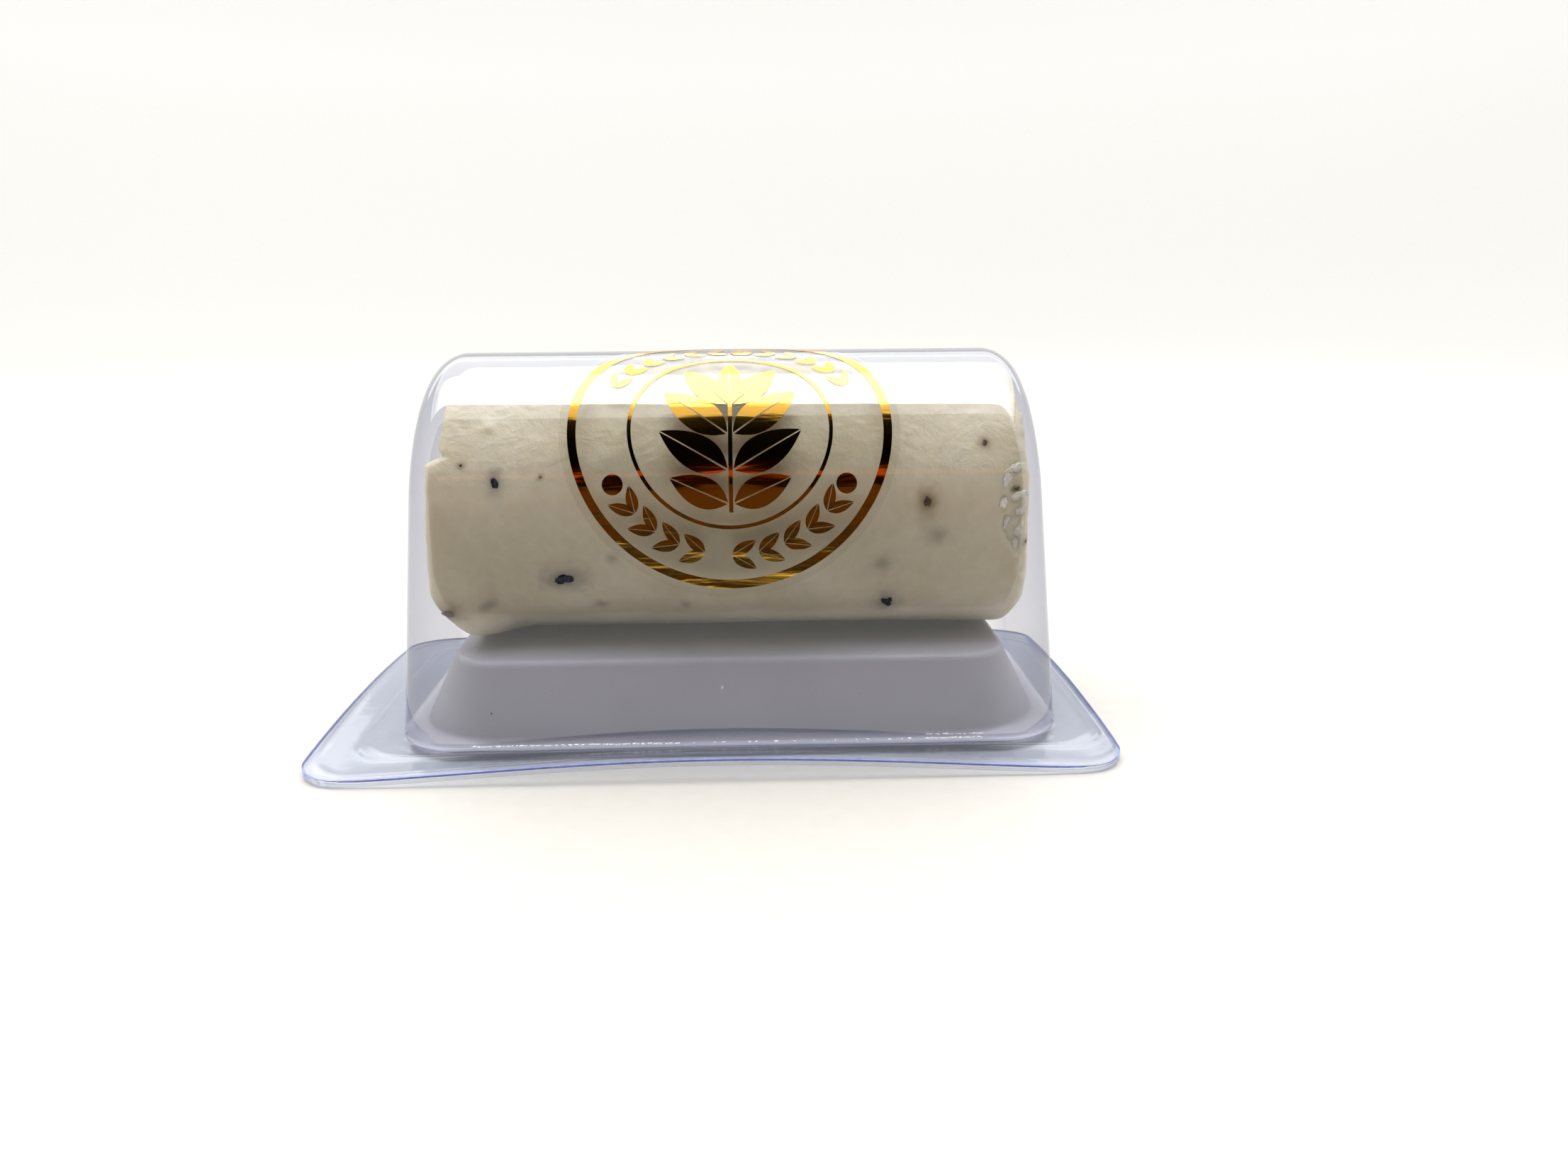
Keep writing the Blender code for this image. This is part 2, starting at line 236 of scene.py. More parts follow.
# %% Clear sheet material
DEEPEST_DYE = 0.62           # slant at which the dye shows most
MIRROR_ONLY = 0.92           # slant from which the mirror hides it


def clear_material(name, through, along, roughness, ior, waves, depth, haze=0.0):
    """Thin clear sheet: through is its colour seen straight, along its colour seen at a slant, waves
    and depth its unevenness, and haze the share of light that its scuffs scatter."""
    made, tree = new_material(name)
    wobble = bumps(tree, 0.25, depth, mottle(tree, waves, 2))
    glance = add(tree, "ShaderNodeLayerWeight", {"Blend": 0.35})
    dye = ramp(tree, glance.outputs["Facing"], through, through, 0.0, MIRROR_ONLY)
    dye.color_ramp.elements.new(DEEPEST_DYE).color = linear(along)
    clear = add(tree, "ShaderNodeBsdfTransparent", links={"Color": dye.outputs["Color"]})
    gloss = add(tree, "ShaderNodeBsdfGlossy", {"Roughness": roughness}, {"Normal": wobble})
    mirror = add(tree, "ShaderNodeFresnel", {"IOR": ior}, {"Normal": wobble})
    side = add(tree, "ShaderNodeNewGeometry")
    front = add(tree, "ShaderNodeMath", {0: 1.0}, {1: side.outputs["Backfacing"]}, operation="SUBTRACT")
    share = add(tree, "ShaderNodeMath", links={0: mirror.outputs[0], 1: front.outputs[0]},
                operation="MULTIPLY")
    body = clear
    if haze:
        scuffs = add(tree, "ShaderNodeBsdfDiffuse", {"Color": linear("#E6E9F4")})
        body = add(tree, "ShaderNodeMixShader", {0: haze}, {1: clear.outputs[0], 2: scuffs.outputs[0]})
    surface(tree, add(tree, "ShaderNodeMixShader",
                      links={0: share.outputs[0], 1: body.outputs[0], 2: gloss.outputs[0]}))
    return made


dome_clear = clear_material("clear_pvc_sheet_blue_tint", "#F1F1F4", "#CBCDD6", 0.03, 2.05, 45, 0.0002)
inner_clear = clear_material("inner_face_of_pvc_sheet", "#FFFFFF", "#FFFFFF", 0.03, 1.0, 45, 0.0002)
flange_clear = clear_material("scuffed_pvc_flange", "#F8F9FB", "#E2E6F0", 0.10, 1.34, 400, 0.00012, 0.05)
film_clear = clear_material("clear_polypropylene_film", "#FEFEFD", "#F6F6F4", 0.08, 1.4, 200, 0.00005)

# %% Cut edge material
cut_edge, tree = new_material("cut_edge_of_pvc_sheet")
tone = ramp(tree, mottle(tree, 700, 3), "#4C579E", "#8E98D6")
surface(tree, add(tree, "ShaderNodeBsdfPrincipled", {"Roughness": 0.25, "IOR": 1.53},
                  {"Base Color": tone.outputs["Color"]}))
print("made", cut_edge.name)

# %% [markdown]
# ## Gold foil
#
# The sticker's shapes are hot-stamped gold foil, a mirror of tinted aluminium. All its look comes
# from what it reflects, so it is a plain metal with low roughness. Foil laid by hand over a curved
# dome is never flat, and a slight waviness breaks the reflections into streaks.

# %% Foil material
gold_foil, tree = new_material("hot_stamped_gold_foil")
stretched = add(tree, "ShaderNodeMapping", {"Scale": (60, 60, 420)}, {"Vector": own_place(tree)})
creases = mottle(tree, 1.0, 3, stretched.outputs["Vector"], Distortion=0.4)
surface(tree, add(tree, "ShaderNodeBsdfPrincipled",
                  {"Base Color": linear("#F0B84E"), "Metallic": 1.0, "Roughness": 0.11},
                  {"Normal": bumps(tree, 0.35, 0.0002, creases)}))
print("made", gold_foil.name)

# %% [markdown]
# ## Outlines for the formed sheets
#
# A vacuum-formed sheet is one skin whose outline changes with its height: a rounded rectangle at
# the cut edge, a smaller one at the ledge, and narrower ones up the walls. Each outline is drawn
# with the same number of points, called stations, so that one can be joined to the next. The
# sizes are those of the solids, with many more stations, so the corners come out round.

# %% Sizes of the pack
DOME_HALF_LENGTH = 0.0500
DOME_HEIGHT = 0.05775
ARCH_RADIUS = 0.0227
FRONT_DRAFT = math.radians(6.5)
END_DRAFT = math.radians(4.7)
TOP_CORNER_RADIUS = 0.0052
FOOT_CORNER_RADIUS = 0.0100
END_SPREAD = 0.45
FLANGE_HALF_LENGTH = 0.0594
FRONT_MARGIN = 0.00945
CENTRE_SHIFT = 0.00235       # the dome's middle lies to the right of the flange's
FLANGE_CORNER_RADIUS = 0.0070
FOOT_HEIGHT = 0.00203
LEDGE_SIDE_MARGIN = 0.0055
LEDGE_FRONT_MARGIN = 0.0024
LEDGE_CORNER_RADIUS = 0.0065
LEDGE_DROOP = 0.0003
LEDGE_DROP = 0.0003
LEDGE_SLOPE_RUN = 0.0005
LEDGE_LIFT = 0.35            # share of the edge's lift that the ledge and the step still have
STEP_LIFT = 0.45
RIM_SHARE = 0.3
FOOT_FILLET = 0.0008
CORNER_HEIGHT = 0.00125      # of the cut edge at its corners, and how far its long and short sides bow up
FRONT_LIFT = 0.00244
SIDE_LIFT = 0.00158
CLEAR_SHEET = 0.00035
SHEET_GAP = 0.00004
ARCH_CENTRE = DOME_HEIGHT - ARCH_RADIUS
TANGENT_HEIGHT = ARCH_CENTRE + ARCH_RADIUS * math.sin(FRONT_DRAFT)
DOME_HALF_WIDTH = (ARCH_RADIUS * math.cos(FRONT_DRAFT)
                   + (TANGENT_HEIGHT - FOOT_HEIGHT) * math.tan(FRONT_DRAFT))
FLANGE_HALF_WIDTH = DOME_HALF_WIDTH + FRONT_MARGIN
print("half width of the dome's foot in mm:", round(1000 * DOME_HALF_WIDTH, 2))

# %% Stations round an outline
END_STEPS, CORNER_STEPS, FRONT_STEPS = 12, 14, 44


def stations():
    """Share of the length and of the width at each station, and its outward normal."""
    ends = [(-1.0, -k / END_STEPS, -1.0, 0.0) for k in range(END_STEPS)]
    turns = [math.pi / 2 * k / CORNER_STEPS for k in range(CORNER_STEPS)]
    corner = [(-1.0, -1.0, -math.cos(turn), -math.sin(turn)) for turn in turns]
    front = [(2 * k / FRONT_STEPS - 1, -1.0, 0.0, -1.0) for k in range(FRONT_STEPS + 1)]
    half = ends + corner + front
    half += [(-u, v, -nx, ny) for u, v, nx, ny in reversed(ends + corner)]
    return half + [(u, -v, nx, -ny) for u, v, nx, ny in reversed(half[1:-1])]


RING = stations()
print("stations:", len(RING))


# %% Outlines with heights
def rectangle(half_length, half_width, radius, centre=0.0):
    """Rounded rectangle in plan, one point for each station."""
    return [(centre + u * (half_length - radius) + nx * radius, v * (half_width - radius) + ny * radius)
            for u, v, nx, ny in RING]


def raised(outline, height, front=0.0, side=0.0, centre=0.0):
    """Outline at a height. Its long edges bow up by front, and its short ones by side."""
    half_length = max(x - centre for x, y in outline)
    half_width = max(y for x, y in outline)
    lifts = []
    for x, y in outline:
        along = min(abs(x - centre) / half_length, 1.0)
        across = min(abs(y) / half_width, 1.0)
        long_edge = math.cos(math.pi / 2 * along) ** 1.5 * across ** 2
        lifts.append(front * long_edge + side * (1 - across ** 2) * along ** 2)
    return [(x, y, height + lift - min(lifts)) for (x, y), lift in zip(outline, lifts)]


def blend(first, second, share):
    return [tuple(a + (b - a) * share for a, b in zip(p, q)) for p, q in zip(first, second)]


def shifted(ring, rise):
    return [(x, y, z + rise) for x, y, z in ring]


# %% Rings of the flange
RIDGE = 0.00009              # height of the faint lines pressed into the flange
EDGE_CURL = 0.00020          # the cut edge bends down by this
CURL_RUN = 0.00075
NICK_DEPTH = 0.00035         # of the ragged cut at the two front corners


def rough(point, size, seed):
    """Smooth noise from -1 to 1 whose lumps are about size across."""
    return noise.noise(point / size + Vector((seed, 2 * seed, -seed)))


def smooth_step(value):
    value = min(max(value, 0.0), 1.0)
    return value * value * (3 - 2 * value)


def inset_edge(distance, edge, fall):
    """The cut edge moved inwards in plan, and its height lowered by fall."""
    plan = rectangle(FLANGE_HALF_LENGTH - distance, FLANGE_HALF_WIDTH - distance,
                     FLANGE_CORNER_RADIUS - distance, -CENTRE_SHIFT)
    return [(x, y, z - fall) for (x, y), (_, _, z) in zip(plan, edge)]


def nicked(ring):
    """Roughens the ring at its two front corners, where the punch left a ragged cut."""
    worn = []
    for x, y, z in ring:
        corner = smooth_step((abs(x + CENTRE_SHIFT) - FLANGE_HALF_LENGTH + 0.012) / 0.006)
        corner *= smooth_step((-y - FLANGE_HALF_WIDTH + 0.009) / 0.004)
        bite = NICK_DEPTH * corner * (0.5 + 0.5 * rough(Vector((x, y, 0)), 0.0009, 21))
        worn.append((x - math.copysign(bite, x), y + bite, z))
    return worn


def flange_rings(drop):
    """Rings from the cut edge in to the ledge, lowered by drop."""
    cut = rectangle(FLANGE_HALF_LENGTH, FLANGE_HALF_WIDTH, FLANGE_CORNER_RADIUS, -CENTRE_SHIFT)
    ledge, below = (rectangle(DOME_HALF_LENGTH + LEDGE_SIDE_MARGIN + out,
                              DOME_HALF_WIDTH + LEDGE_FRONT_MARGIN + out, LEDGE_CORNER_RADIUS + out)
                    for out in (0.0, LEDGE_SLOPE_RUN))
    edge = raised(cut, CORNER_HEIGHT - drop, FRONT_LIFT, SIDE_LIFT, -CENTRE_SHIFT)
    height = FOOT_HEIGHT - LEDGE_DROOP - drop
    low = raised(below, height - LEDGE_DROP, STEP_LIFT * FRONT_LIFT, STEP_LIFT * SIDE_LIFT)
    high = raised(ledge, height, LEDGE_LIFT * FRONT_LIFT, LEDGE_LIFT * SIDE_LIFT)
    rim = [(x, y, z) for (x, y, _), (_, _, z) in zip(blend(edge, low, RIM_SHARE), edge)]
    rings = [nicked(shifted(edge, -EDGE_CURL)), inset_edge(0.3 * CURL_RUN, edge, 0.5 * EDGE_CURL),
             inset_edge(0.65 * CURL_RUN, edge, 0.12 * EDGE_CURL), inset_edge(CURL_RUN, edge, 0.0)]
    rings += [blend(edge, rim, 0.9), shifted(rim, RIDGE), blend(rim, low, 0.06)]
    rings += [blend(rim, low, share) for share in (0.25, 0.5, 0.75, 0.95)]
    rings += [blend(low, high, share) for share in (0.15, 0.5, 0.85)]
    return rings + [high]


def ledge_rings(high, foot):
    """Rings across the ledge, with a second faint line on it."""
    rings = [blend(high, foot, share) for share in (0.08, 0.22, 0.3, 0.38, 0.7, 0.9)]
    rings[2] = shifted(rings[2], RIDGE)
    return rings


# %% [markdown]
# ## Joining the outlines
#
# By hand, such a skin starts as a circle of loose edges that is extruded again and again, with
# each new ring moved and scaled into place. The helper does just that, and puts each new point
# on its station. A number stored on each point tells which station it is, and extruding copies it.

# %% Loft helper
EDGE_BAND = 0.00025          # width of the coloured line along the cut edge, seen from above


def deselect():
    bpy.ops.object.select_all(action="DESELECT")


def select_mesh():
    bpy.ops.mesh.select_all(action="SELECT")


def leave_edit_mode():
    bpy.ops.object.mode_set(mode="OBJECT")


def start_piece(name):
    """Names the object that an operator has just added, and opens it in edit mode."""
    piece = bpy.context.object
    piece.name = name
    piece.data.name = name
    bpy.ops.object.mode_set(mode="EDIT")
    return piece


def join(parts):
    """Joins pieces into the first of them."""
    deselect()
    for part in parts:
        part.select_set(True)
    bpy.context.view_layer.objects.active = parts[0]
    if len(parts) > 1:
        bpy.ops.object.join()


def apply_modifiers(piece):
    for modifier in list(piece.modifiers):
        bpy.ops.object.modifier_apply(modifier=modifier.name)


def loft(name, rings, flat_end=False):
    """Skin over rings of points. The last ring has shrunk to a line, or gets a flat face."""
    deselect()
    bpy.ops.mesh.primitive_circle_add(vertices=len(RING), radius=DOME_HALF_LENGTH)
    piece = start_piece(name)
    form = bmesh.from_edit_mesh(piece.data)
    form.verts.ensure_lookup_table()
    layer = form.verts.layers.int.new("station")
    for k, vertex in enumerate(form.verts):
        vertex[layer] = k
        vertex.co = (rings[0][k][0] + CENTRE_SHIFT, *rings[0][k][1:])
    bmesh.update_edit_mesh(piece.data)
    select_mesh()
    for ring in rings[1:]:
        bpy.ops.mesh.extrude_region_move()
        form = bmesh.from_edit_mesh(piece.data)
        layer = form.verts.layers.int["station"]
        for vertex in form.verts:
            if vertex.select:
                x, y, z = ring[vertex[layer]]
                vertex.co = (x + CENTRE_SHIFT, y, z)
        bmesh.update_edit_mesh(piece.data)
    if flat_end:
        bpy.ops.mesh.edge_face_add()
    select_mesh()
    bpy.ops.mesh.remove_doubles(threshold=1e-6)
    bpy.ops.mesh.normals_make_consistent(inside=False)
    form = bmesh.from_edit_mesh(piece.data)
    if sum(face.normal.z * face.calc_area() for face in form.faces) < 0:
        bpy.ops.mesh.flip_normals()
    leave_edit_mode()
    piece.data.attributes.remove(piece.data.attributes["station"])
    return piece


def beyond(x, y, half_length, half_width, radius):
    """Distance outside a rounded rectangle. It is negative inside."""
    along, across = abs(x) - half_length + radius, abs(y) - half_width + radius
    return math.hypot(max(along, 0.0), max(across, 0.0)) - radius


def wall(piece, thickness, finishes):
    """Gives a skin its thickness, downwards and inwards, smooth shading, and its finishes: those of
    the two faces of its middle, of the two faces of its flange, and of its edge."""
    for finish in finishes:
        piece.data.materials.append(finish)
    for face in piece.data.polygons:
        x, y, _ = face.center
        if beyond(x, y, FLANGE_HALF_LENGTH, FLANGE_HALF_WIDTH, FLANGE_CORNER_RADIUS) > -EDGE_BAND:
            face.material_index = 4
        elif beyond(x - CENTRE_SHIFT, y, DOME_HALF_LENGTH, DOME_HALF_WIDTH, FOOT_CORNER_RADIUS) > 0.0:
            face.material_index = 2
    sheet = piece.modifiers.new("sheet", "SOLIDIFY")
    sheet.thickness = thickness
    sheet.offset = -1
    sheet.material_offset = 1
    sheet.material_offset_rim = 2
    apply_modifiers(piece)
    bpy.ops.object.shade_smooth_by_angle(angle=math.radians(50))
    print(piece.name, "faces:", len(piece.data.polygons))


# %% [markdown]
# ## The tray
#
# The tray is the lower sheet. Its flange turns down at the cut edge and stands on the table, and
# a fillet climbs from the ledge to the raised bed that carries the log. The bed is white. Its
# flange lets the light of the table through, so it gets the finish of the clear sheet.

# %% Tray
TRAY_SHEET = 0.00042
BED_HEIGHT = 0.0139
BED_HALF_LENGTH = 0.0411
BED_HALF_WIDTH = 0.0212
BED_CORNER_RADIUS = 0.0062
BED_LIP_RADIUS = 0.0013
BED_FOOT_HALF_LENGTH = 0.0473
BED_FOOT_HALF_WIDTH = 0.0248
BED_FOOT_CORNER_RADIUS = 0.0130
BED_FOOT_HEIGHT = 0.0032
LIP_DEPTH = 0.00056


def bed_rings(floor):
    """The fillet out of the ledge, the sloping wall and the rounded lip of the bed."""
    foot = rectangle(DOME_HALF_LENGTH - 0.0003, DOME_HALF_WIDTH, FOOT_CORNER_RADIUS)
    wall_foot = rectangle(BED_FOOT_HALF_LENGTH, BED_FOOT_HALF_WIDTH, BED_FOOT_CORNER_RADIUS)
    lip = rectangle(BED_HALF_LENGTH + BED_LIP_RADIUS, BED_HALF_WIDTH + BED_LIP_RADIUS,
                    BED_CORNER_RADIUS + BED_LIP_RADIUS)
    top = rectangle(BED_HALF_LENGTH, BED_HALF_WIDTH, BED_CORNER_RADIUS)
    rings = []
    for degrees in range(90, -1, -10):
        turn = math.radians(degrees)
        height = BED_FOOT_HEIGHT - (BED_FOOT_HEIGHT - floor) * math.sin(turn)
        rings.append(raised(blend(wall_foot, foot, 1 - math.cos(turn)), height))
    lip_foot = raised(lip, BED_HEIGHT - BED_LIP_RADIUS)
    rings += [blend(rings[-1], lip_foot, share) for share in (0.25, 0.5, 0.75)]
    for degrees in range(90, -1, -10):
        turn = math.radians(degrees)
        height = BED_HEIGHT - BED_LIP_RADIUS * (1 - math.cos(turn))
        rings.append(raised(blend(top, lip, math.sin(turn)), height))
    return rings


drop = CLEAR_SHEET + SHEET_GAP
flange = flange_rings(drop)
bed = bed_rings(FOOT_HEIGHT - drop)
lip = [shifted(flange[0], -LIP_DEPTH), shifted(flange[0], -LIP_DEPTH / 2)]
tray = loft("tray_with_raised_bed", lip + flange + ledge_rings(flange[-1], bed[0]) + bed, flat_end=True)
wall(tray, TRAY_SHEET, [tray_white, tray_white, flange_clear, inner_clear, flange_clear])
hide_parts("tray")
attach(tray, "root")

# %% [markdown]
# ## The dome
#
# The dome is the upper sheet: the same flange, a small fillet at its foot, walls that lean in by
# 6.5 degrees so that it leaves the mould, and a round back. Its end walls lean in too, and the
# lines of the back fan out over them. Its cut edge gets the blue-violet finish.

# %% Rings of the dome
def dome_point(station, step):
    """Point of the outer face: step 0 is the foot, 1 the top of the drafted wall and 2 the crown."""
    u, v, nx, ny = station
    foot = FOOT_HEIGHT + FOOT_FILLET * (1 - math.sin(FRONT_DRAFT))
    height = foot + (DOME_HEIGHT - foot) * step / 2
    for _ in range(4):
        climbed = (height - FOOT_HEIGHT) / (DOME_HEIGHT - FOOT_HEIGHT)
        corner = FOOT_CORNER_RADIUS + (TOP_CORNER_RADIUS - FOOT_CORNER_RADIUS) * climbed
        inset = corner * (1 - abs(ny))
        radius = ARCH_RADIUS - inset * math.cos(FRONT_DRAFT)
        if step <= 1:
            height = foot + (ARCH_CENTRE + radius * math.sin(FRONT_DRAFT) - foot) * step
            half_width = DOME_HALF_WIDTH - (height - FOOT_HEIGHT) * math.tan(FRONT_DRAFT) - inset
        else:
            angle = FRONT_DRAFT + (math.pi / 2 - FRONT_DRAFT) * (step - 1)
            height = ARCH_CENTRE + radius * math.sin(angle)
            half_width = radius * math.cos(angle)
    height = foot + (height - foot) * (1 - END_SPREAD * (1 - abs(v)))
    half_length = DOME_HALF_LENGTH - (height - FOOT_HEIGHT) * math.tan(END_DRAFT)
    return u * (half_length - corner) + nx * corner, v * half_width, height


foot = [dome_point(station, 0.0) for station in RING]
fillet = []
for degrees in (90, 75, 60, 45, 30, 15):
    turn = math.radians(degrees)
    out = FOOT_FILLET * (math.cos(FRONT_DRAFT) - math.cos(turn))
    height = FOOT_HEIGHT + FOOT_FILLET * (1 - math.sin(turn))
    fillet.append([(x + nx * out, y + ny * out, height) for (x, y, z), (u, v, nx, ny) in zip(foot, RING)])
wall_steps = [0.0, 0.1, 0.2, 0.35, 0.5, 0.65, 0.8, 0.9]
back_steps = [1 + k / 40 for k in range(41)]
walls = [[dome_point(station, step) for station in RING] for step in wall_steps + back_steps]

# %% Dome
flange = flange_rings(0.0)
dome = loft("clear_arched_dome", flange + ledge_rings(flange[-1], fillet[0]) + fillet + walls)
wall(dome, CLEAR_SHEET, [dome_clear, inner_clear, flange_clear, inner_clear, cut_edge])
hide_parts("clear_dome")
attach(dome, "root")

# %% [markdown]
# ## The log
#
# Soft curd has no crisp line anywhere. The bar starts as a cylinder with rounded ends, and a
# voxel remesh turns it into an even grid of half-millimetre faces. Its points are then moved by
# rule: the lower half slumps outwards, the ends lean and lose a slice and some crumbs, and noise
# of several sizes makes the surface uneven.

# %% Bar on an even grid
LOG_RADIUS = 0.0210
LOG_LEFT = 0.0441            # from the dome's middle to each end face
LOG_RIGHT = 0.0447
LOG_AXIS = 0.0352
LOG_EDGE_RADIUS = 0.0016
LOG_GRID = 0.00043

deselect()
bpy.ops.mesh.primitive_cylinder_add(
    vertices=128, radius=LOG_RADIUS, depth=LOG_LEFT + LOG_RIGHT, end_fill_type="NGON",
    location=(CENTRE_SHIFT + (LOG_RIGHT - LOG_LEFT) / 2, 0, LOG_AXIS), rotation=(0, math.pi / 2, 0))
log = start_piece("fresh_goat_cheese_log")
form = bmesh.from_edit_mesh(log.data)
bpy.ops.mesh.select_mode(type="EDGE")
bpy.ops.mesh.select_all(action="DESELECT")
for edge in form.edges:
    edge.select = abs(edge.verts[0].co.z - edge.verts[1].co.z) < 1e-6
bmesh.update_edit_mesh(log.data)
bpy.ops.mesh.bevel(offset=LOG_EDGE_RADIUS, segments=4)
leave_edit_mode()
bpy.ops.object.transform_apply(location=True, rotation=True, scale=True)
grid = log.modifiers.new("grid", "REMESH")
grid.mode = "VOXEL"
grid.voxel_size = LOG_GRID
apply_modifiers(log)
print("faces on the bar:", len(log.data.polygons))

# %% Slump, missing slice and crumbs
LOG_SLUMP = 2.35             # exponent of the lower half's outline: 2 would be a circle
END_SAG = 1.6                # added to it at the left end
FACE_LEAN = 0.035
SIDE_SWELL = 0.0003
NOTCH_DEPTH = 0.0017         # of the missing slice
NOTCH_START = 0.0073         # its height above the axis
NOTCH_RISE = 0.0016
CREASE_DEPTH = 0.0008
CREASE_WIDTH = 0.0006
BREAK_LINE = 0.0401          # the skin is broken beyond this, and further out above and below
BREAK_SPREAD = 0.0036
BREAK_DEPTH = 0.00022
HOLE_DEPTH = 0.0008
LEFT_CUT, LEFT_CUT_START, LEFT_CUT_RUN = 0.0042, 0.0110, 0.0095       # the left face's lower edge
RIGHT_CUT, RIGHT_CUT_START, RIGHT_CUT_RUN = 0.0014, 0.0135, 0.007     # the right face's
PIMPLE = (-0.0366, -38.3, 0.0009, 0.00042)     # x, degrees below the front, radius, height


def face_position(side, across, up):
    """Signed X of an end face, from the dome's middle."""
    reach = (LOG_LEFT if side < 0 else LOG_RIGHT) - FACE_LEAN * up
    where = Vector((side, across, up))
    reach += 0.00025 * rough(where, 0.005, 3) + 0.00012 * rough(where, 0.0016, 5)
    if side < 0:
        ragged = NOTCH_START + 0.0009 * rough(where, 0.004, 7)
        reach -= NOTCH_DEPTH * smooth_step((up - ragged) / NOTCH_RISE)
        reach -= CREASE_DEPTH * math.exp(-((up - ragged - NOTCH_RISE) / CREASE_WIDTH) ** 2)
        reach -= LEFT_CUT * smooth_step((-up - LEFT_CUT_START) / LEFT_CUT_RUN)
    else:
        reach -= RIGHT_CUT * smooth_step((-up - RIGHT_CUT_START) / RIGHT_CUT_RUN)
    return side * reach


def break_line(degrees):
    """X beyond which the skin is broken off, from the dome's middle."""
    return BREAK_LINE + BREAK_SPREAD * min(max(abs(degrees - 1) - 7, 0) / 22, 1) ** 0.8


def broken_skin(x, degrees, where):
    """Depth by which the skin is broken off near the right end."""
    line = break_line(degrees)
    line += 0.0006 * rough(where, 0.0021, 31) + 0.00025 * rough(where, 0.0008, 33)
    gone = smooth_step((x - line) / 0.0005)
    crumbs = 0.5 + 0.5 * rough(where, 0.0016, 35) + 0.35 * rough(where, 0.0007, 37)
    hole = HOLE_DEPTH * math.exp(-((x - 0.0421) / 0.0006) ** 2 - ((degrees + 9) / 2.2) ** 2)
    return gone * (BREAK_DEPTH + 0.0004 * crumbs) + hole


for vertex in log.data.vertices:
    x, across, z = vertex.co
    x -= CENTRE_SHIFT
    up = z - LOG_AXIS
    out = math.hypot(across, up)
    angle = math.atan2(up, -across)
    share = (x + LOG_LEFT) / (LOG_LEFT + LOG_RIGHT)
    swell = 0.6 * math.sin(3 * angle + 5 * share) + 0.4 * math.sin(7 * angle - 9 * share + 1)
    exponent = LOG_SLUMP + END_SAG * smooth_step((-x - 0.034) / 0.008) if angle < 0 else 2.0
    fullness = (abs(math.cos(angle)) ** exponent + abs(math.sin(angle)) ** exponent) ** (-1 / exponent)
    radius = out * fullness * (1 + SIDE_SWELL * (swell - 1) / LOG_RADIUS)
    lumps = 0.00012 * rough(vertex.co, 0.007, 11) + 0.00006 * rough(vertex.co, 0.0018, 13)
    degrees = -math.degrees(angle)
    lumps -= broken_skin(x, degrees, vertex.co)
    smear = smooth_step((-x - 0.028) / 0.004) * smooth_step((-degrees - 33) / 6)
    lumps += 0.00010 * smear * rough(vertex.co, 0.0009, 39)
    bump_x, bump_degrees, bump_radius, bump_height = PIMPLE
    away = math.hypot(x - bump_x, LOG_RADIUS * math.radians(degrees - bump_degrees))
    lumps += bump_height * math.exp(-(away / bump_radius) ** 2)
    radius += (lumps - 0.00012) * out / LOG_RADIUS
    across, up = -radius * math.cos(angle), radius * math.sin(angle)
    left, right = face_position(-1, across, up), face_position(1, across, up)
    low = BED_HEIGHT + 0.00004
    vertex.co = (left + (right - left) * share + CENTRE_SHIFT, across, max(LOG_AXIS - 0.0002 + up, low))
bpy.ops.object.shade_smooth()
log.data.materials.append(cheese_paste)
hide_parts("cheese_log")
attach(log, "root")
print("log from", round(min(v.co.x for v in log.data.vertices) * 1000, 1), "mm")

# %% [markdown]
# ## Flecks
#
# Each fleck is pressed into the skin of the curd. An ico sphere is flattened to the fleck's
# length and width, made ragged with noise, and laid on the surface where a ray from outside
# meets it. Flecks of one colour are joined into one piece. Round each one the curd is stained, and
# a fleck with no material lies so deep that only its stain shows. Thicker flakes of pale curd hang
# on where the skin is broken.

# %% Flecks
FLECKS = [
    # material, x from the dome's middle, degrees below the front, length, width, tilt in degrees
    (black_fleck, -24.3, 26.7, 3.4, 1.9, 14),
    (black_fleck, -33.5, -14.4, 1.2, 2.0, 20),
    (brown_fleck, -42.0, 38.0, 2.1, 1.3, 5),
    (black_fleck, 23.9, 41.0, 1.9, 2.0, 0),
    (None, 23.0, 21.7, 1.9, 1.6, 30),
    (brown_fleck, 29.3, -4.0, 1.2, 1.8, 10),
    (None, 30.9, 10.1, 2.0, 1.7, 0),
    (brown_fleck, 37.9, -28.5, 0.9, 1.0, 0),
    (None, 42.0, -17.6, 0.6, 0.6, 0),
    (brown_fleck, -38.4, -21.2, 0.5, 0.5, 0),
    (brown_fleck, -26.9, -16.1, 0.4, 0.4, 0),
    (None, -17.0, 17.3, 1.1, 0.9, 0),
    (None, -19.3, 41.3, 1.2, 1.1, 0),
    (None, -6.7, 42.6, 1.1, 1.1, 0),
    (None, -36.0, 38.0, 1.8, 1.2, 0),
    (olive_hole, 42.6, -8.9, 0.9, 0.7, 20),
    (brown_fleck, 44.2, 14.1, 0.5, 0.6, 0),
]
TORN_FLAKES = [
    # x from the dome's middle, degrees below the front, length, width, tilt in degrees
    (42.2, -17.0, 3.2, 1.5, 20),
    (41.0, -12.5, 2.6, 1.2, 70),
    (42.6, -6.0, 3.4, 1.3, 12),
    (40.6, -4.0, 2.4, 1.1, 80),
    (43.2, 0.5, 2.2, 1.4, 40),
    (41.2, 4.5, 2.8, 1.0, 75),
    (43.0, 8.5, 2.6, 1.3, 60),
    (42.4, 15.0, 2.4, 0.9, 80),
]
FLECK_THICKNESS, FLAKE_THICKNESS = 0.00024, 0.0007
